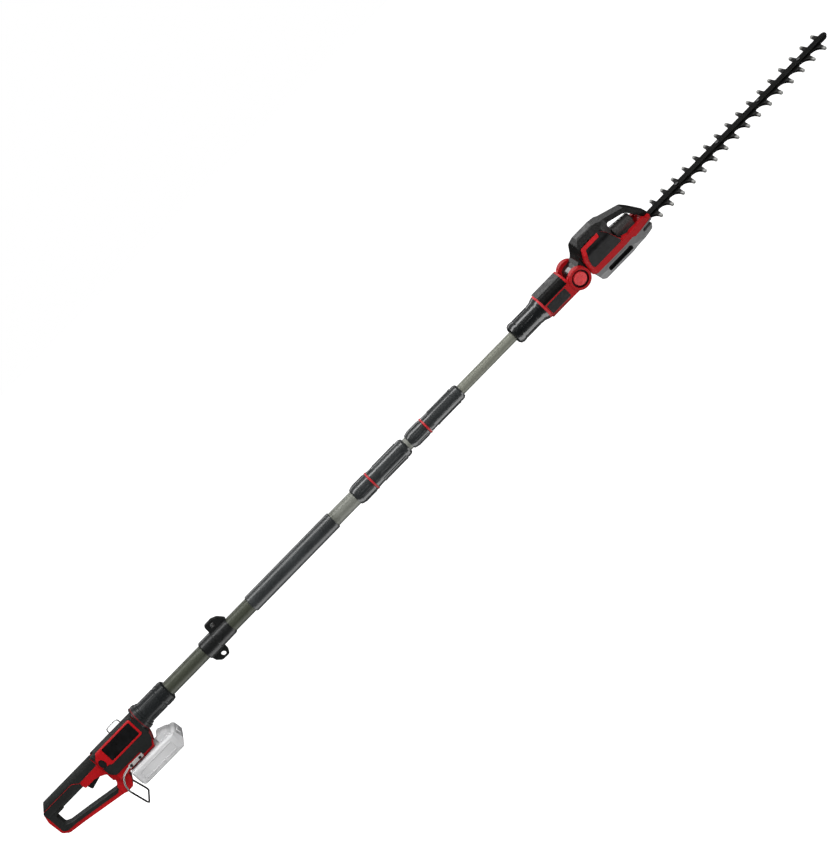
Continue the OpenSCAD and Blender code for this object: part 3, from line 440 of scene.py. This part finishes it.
# one material for each look; plastic's numbers are its roughness, grain depth, grain scale and edge
MATS = {
    "red": plastic("red_shell", (0.335, 0.005, 0.0075), 0.34, 0.06, 700, 0.0008, wear=0.25, spec=0.12),
    "red_gloss": plastic("red_button", (0.56, 0.03, 0.034), 0.3, 0.05, 700, 0.0006, wear=0.2, spec=0.5),
    "red_ring": plastic("red_ring", (0.40, 0.014, 0.02), 0.42, 0.08, 900, 0.0004, wear=0.2, spec=0.3),
    # the seal's red, darkened with painted shade for the shadow it lies in
    "red_seal_painted_shade": plastic("red_seal_painted_shade", (0.09, 0.004, 0.006), 0.45, 0.08, 900, 0.0003, wear=0.2, spec=0.3),
    "soft": soft_grip(),
    "gloss": gloss(),
    "black": plastic("black_plastic", (0.008, 0.0085, 0.0085), 0.3, 0.06, 800, 0.0007, wear=0.4, spec=0.3),
    "frame": plastic("frame_black", (0.004, 0.0039, 0.0037), 0.3, 0.05, 700, 0.0009, wear=0.3, spec=0.25),
    "cover": plastic("cover_black", (0.0035, 0.0034, 0.0033), 0.26, 0.05, 700, 0.0009, wear=0.3,
                     spec=0.13),
    "sleeve": plastic("sleeve_black", (0.011, 0.0125, 0.013), 0.26, 0.05, 800, 0.0008, wear=0.3, spec=0.2),
    "front_sleeve": plastic("front_sleeve_black", (0.006, 0.007, 0.0072), 0.2, 0.05, 800, 0.0008,
                            wear=0.3, spec=0.7),
    "grey": plastic("grey_plastic", (0.022, 0.0245, 0.025), 0.2, 0.06, 700, 0.0007, wear=0.35, spec=0.6),
    "barrel": plastic("barrel_plastic", (0.045, 0.042, 0.041), 0.26, 0.06, 700, 0.0007, coat=0.6,
                      wear=0.35),
    "guard": plastic("guard_grey", (0.10, 0.101, 0.102), 0.34, 0.06, 700, 0.0006, wear=0.5, spec=0.5),
    "polished": plastic("knuckle_black", (0.008, 0.008, 0.008), 0.14, 0.03, 700, 0.0005, wear=0.3, spec=0.6),
    # painted shade: near-black red for the ring round each pivot button, where its recess lies in shadow
    "pivot_ring_shade": plastic("button_ring_painted_shade", (0.03, 0.002, 0.003), 0.5, 0.06, 700, 0.0, wear=0.2, spec=0.1),
    # painted shade: near-black for the inside of the guard's side slots
    "slot": plastic("guard_slot_painted_shade", (0.003, 0.003, 0.003), 0.6, 0.06, 700, 0.0, wear=0.2, spec=0.1),
    "acetal": plastic("pale_plastic", (0.5, 0.5, 0.47), 0.45, 0.08, 700, 0.0004),
    "tube": tube_metal("anodised_tube", (0.040, 0.044, 0.031), (0.15, 0.155, 0.135), -242, -212),
    "tube_mid": tube_metal("anodised_tube_middle", (0.16, 0.165, 0.145)),
    "tube_up": tube_metal("anodised_tube_upper", (0.155, 0.16, 0.133), spec=0.12),
    "foam": foam(),
    "pack": frosted(),
    "black_steel": steel("black_steel", (0.02, 0.02, 0.021), 0.4, metallic=0.4),
    "bar": steel("bar_steel", (0.0025, 0.0025, 0.0023), 0.5, metallic=0.0, spec=0.03),
    "plate": steel("stand_plate_steel", (0.62, 0.60, 0.58), 0.42, metallic=0.55),
    "steel": steel("plain_steel", (0.58, 0.58, 0.57), 0.3),
    "wire": steel("wire_steel", (0.62, 0.63, 0.63), 0.26, (200, 200, 200)),
    "blade": blade_steel(),
    "stand_wire": stand_steel(),
}
# the CAD nodes that wear each look
LOOK = {
    "red": "shell_right shell_left yoke_right yoke_left side_right side_left",
    "red_gloss": "pivot_button_right pivot_button_left",
    "red_ring": "lock1_ring lock2_ring front_ring",
    "red_seal_painted_shade": "rear_seal",
    "soft": "cover_right cover_left grip_pad loop_lining",
    "gloss": "label_right label_left yoke_label_right yoke_label_left panel_right panel_left",
    "black": "trigger switch_module lockoff_button terminal_block strap_clamp",
    "frame": "head_frame",
    "cover": "yoke_cover",
    "sleeve": "rear_sleeve",
    "front_sleeve": "front_sleeve",
    "grey": "lock1_base lock1_sleeve lock2_base lock2_sleeve",
    "barrel": "barrel_cover",
    "guard": "lower_guard",
    "acetal": "lock1_collet lock2_collet",
    "tube": "lower_tube",
    "tube_mid": "middle_tube",
    "tube_up": "upper_tube",
    "foam": "foam_grip",
    "pack": "battery_pack battery_button",
    "black_steel": "stand_wire handle_screws stand_screws blade_bolts",
    "bar": "blade_bar",
    "plate": "stand_plates",
    "steel": "trigger_spring clamp_screw pivot_bolt motor rotor drive_gear",
    "wire": "hanging_eye",
    "blade": "blade_upper blade_lower",
}


# ---- pieces drawn in finer shape than their CAD nodes, and one cover plate ----
def stand_in(o, body, node, mat):
    """Give a new piece its material and its body, and hide the CAD node that it stands for."""
    o.data.materials.append(mat)
    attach(o, body)
    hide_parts(node)
    return o


def round_line(name, points, radius, sides):
    """A curve of round section through the points; sides sets how finely the section is drawn."""
    cu = bpy.data.curves.new(name, "CURVE")
    cu.dimensions = "3D"
    cu.bevel_depth = radius
    cu.bevel_resolution = sides
    sp = cu.splines.new("POLY")
    sp.points.add(len(points) - 1)
    for pt, v in zip(sp.points, points):
        pt.co = (*v, 1)
    return cu


def wire(name, points, radius, bend, node, mat):
    """A bent round wire of the handle, with its inner corners rounded by the bend."""
    path = [points[0]]
    steps = 8
    for before, corner, after in zip(points, points[1:], points[2:]):
        back, on = before - corner, after - corner
        reach = min(bend, 0.45 * back.length, 0.45 * on.length)
        start = corner + back.normalized() * reach
        end = corner + on.normalized() * reach
        for i in range(steps + 1):
            q = i / steps
            path.append(start.lerp(corner, q).lerp(corner.lerp(end, q), q))
    path.append(points[-1])
    cu = round_line(name, path, radius, 6)
    cu.use_fill_caps = True
    cu.splines[0].use_smooth = True
    return stand_in(link(name, cu), "handle", node, mat)


def stand():
    """The stand's wire: two arms under the plates, down the post and across below, as one bent loop."""
    arm = [(-739, 25, -41.8), (-776, 25, -41.8), (-789, 25.6, -46), (-797, 31, -57), (-798.6, 36, -68),
           (-791.4, 37, -104), (-790.6, 33, -108)]
    points = [at(x, y, z) for x, y, z in arm] + [at(x, -y, z) for x, y, z in reversed(arm)]
    return wire("stand_loop", points, 0.0017, 0.005, "stand_wire", MATS["stand_wire"])


def eye():
    """The hanging eye on top of the housing: two legs sunk into it and a bar across."""
    rear, front, foot, top = -755, -729, 9, 28.5
    points = [at(rear, 0, foot), at(rear, 0, top), at(front, 0, top), at(front, 0, foot)]
    return wire("hanging_loop", points, 0.001, 0.006, "hanging_eye", MATS["wire"])


def spring():
    """The trigger's return spring as a real coil with closed ends."""
    # it stands on the trigger and bears against the housing above
    x, foot, top = -834, -13.9, -6.7
    radius, turns = 2.25, 7
    steps = turns * 24
    # the wire's centre line starts just above the foot, and each end's share of the coil lies flat
    start, rise, flat = 0.35, 6.5, 0.12
    path = []
    for i in range(steps + 1):
        q = i / steps
        a = 2 * math.pi * turns * q
        lift = start + rise * min(1, max(0, (q - flat) / (1 - 2 * flat)))
        path.append(at(x + radius * math.cos(a), radius * math.sin(a), foot + lift))
    cu = round_line("trigger_coil", path, 0.0003, 3)
    cu.materials.append(MATS["steel"])
    drawn = link("coil_path", cu)
    o = link("trigger_coil", bpy.data.meshes.new_from_object(drawn))
    bpy.data.objects.remove(drawn)
    for p in o.data.polygons:
        p.use_smooth = True
    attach(o, "handle")
    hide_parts("trigger_spring")
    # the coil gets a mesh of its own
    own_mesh(o)
    return o


def gear_plate():
    """The thin plate between the side shells that covers the spur gear below the barrel. It ends
    in front of the pinion."""
    rear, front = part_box("drive_gear")
    gear_x = 500 * (rear.x + front.x) + EYE_X
    radius, low, high = 25.4, -11.6, -10.2
    end, steps = math.radians(129), 24
    angles = [end * i / steps for i in range(-steps, steps + 1)]
    rim = [(gear_x + radius * math.cos(a), radius * math.sin(a)) for a in angles]
    n = len(rim)
    verts = [head_at(x, y, z) for z in (low, high) for x, y in rim]
    faces = [tuple(reversed(range(n))), tuple(range(n, 2 * n))]
    faces += [(i, (i + 1) % n, (i + 1) % n + n, i + n) for i in range(n)]
    mesh = bpy.data.meshes.new("gear_plate")
    mesh.from_pydata(verts, [], faces)
    mesh.materials.append(MATS["black"])
    o = link("gear_plate", mesh)
    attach(o, "head")
    return o


def foam_sleeve():
    """The foam grip: a skinned tube with rolled ends, slack dents and a slightly wavy surface."""
    bm = bmesh.new()
    around, along = 96, 150
    rear, front, bore, radius = -428, -225, 14.1, 16.45
    # X and radius of the rolled rear end, which the front end mirrors
    rolled = [(rear, bore), (rear, 15.2), (rear + 0.3, 15.8), (rear + 1, 16.25), (rear + 2, 16.42)]
    straight = front - rear - 8
    body = [(rear + 4 + straight * i / along, radius) for i in range(along + 1)]
    profile = rolled + body + [(rear + front - x, r) for x, r in reversed(rolled)]
    rings = []
    for x, r in profile:
        ring = []
        for k in range(around):
            a = 2 * math.pi * k / around
            sag = 0.05 * math.sin(x * 0.21 + 2 * math.sin(a)) + 0.05 * math.sin(x * 0.047 + 3 * a)
            worn = r - (0.09 + 0.6 * sag if r > 16.3 else 0)
            ring.append(bm.verts.new(at(x, worn * math.cos(a), worn * math.sin(a))))
        rings.append(ring)
    # the last pair joins the two ends through the bore
    for one, two in zip(rings, rings[1:] + rings[:1]):
        for k in range(around):
            k2 = (k + 1) % around
            bm.faces.new((one[k], one[k2], two[k2], two[k]))
    bmesh.ops.recalc_face_normals(bm, faces=bm.faces)
    mesh = bpy.data.meshes.new("foam_sleeve")
    bm.to_mesh(mesh)
    bm.free()
    for p in mesh.polygons:
        p.use_smooth = True
    return stand_in(link("foam_sleeve", mesh), "handle", "foam_grip", MATS["foam"])


# ---- materials on the CAD nodes ----
def dress(o, mat):
    """Give a CAD node one material all over."""
    o.data.materials.clear()
    o.data.materials.append(mat)
    for p in o.data.polygons:
        p.material_index = 0


def in_head(v):
    """A row point as X, Y and Z of the head's own turned frame, in millimetres."""
    x, y, z = v.x * 1000 + EYE_X, v.y * 1000, v.z * 1000 + EYE_Z
    c, s = math.cos(ROLL), math.sin(ROLL)
    return x, y * c + z * s, z * c - y * s


def patch(name, mat, test):
    """Give another material to the faces of a CAD node of the head whose corners all pass the test."""
    o = nodes[name]
    o.data.materials.append(mat)
    slot = len(o.data.materials) - 1
    ok = [test(*in_head(o.matrix_world @ v.co)) for v in o.data.vertices]
    for p in o.data.polygons:
        if all(ok[i] for i in p.vertices):
            p.material_index = slot


def patch_all():
    """The faces that differ from the rest of their node."""
    # the polished knuckle between the cheeks
    patch("head_frame", MATS["polished"],
          lambda x, y, z: math.hypot(x - PIVOT_X, z) < 14.3 and abs(y) < 19.35)
    for side in ("right", "left"):
        # painted shade: a dark ring round each pivot button, for the shadow in the recess round it
        patch("yoke_" + side, MATS["pivot_ring_shade"],
              lambda x, y, z: 12.3 < math.hypot(x - PIVOT_X, z) < 16.1 and abs(y) < 30.45)
        # the inner edge of the side shells beside the barrel
        patch("side_" + side, MATS["frame"],
              lambda x, y, z: x > 437 and z > -5 and abs(y) > 12 and not (x > 470 and z < 0))
    # painted shade: near-black inside the guard's side slots
    patch("lower_guard", MATS["slot"],
          lambda x, y, z: 411.2 < x < 467.8 and -32.8 < z < -22.2 and 20 < abs(y) < 31.5)


for look, names in LOOK.items():
    for name in names.split():
        dress(nodes[name], MATS[look])
patch_all()
stand()
eye()
spring()
foam_sleeve()
gear_plate()
camera()
lights()
studio()
floor()
scene.view_settings.view_transform = "Standard"
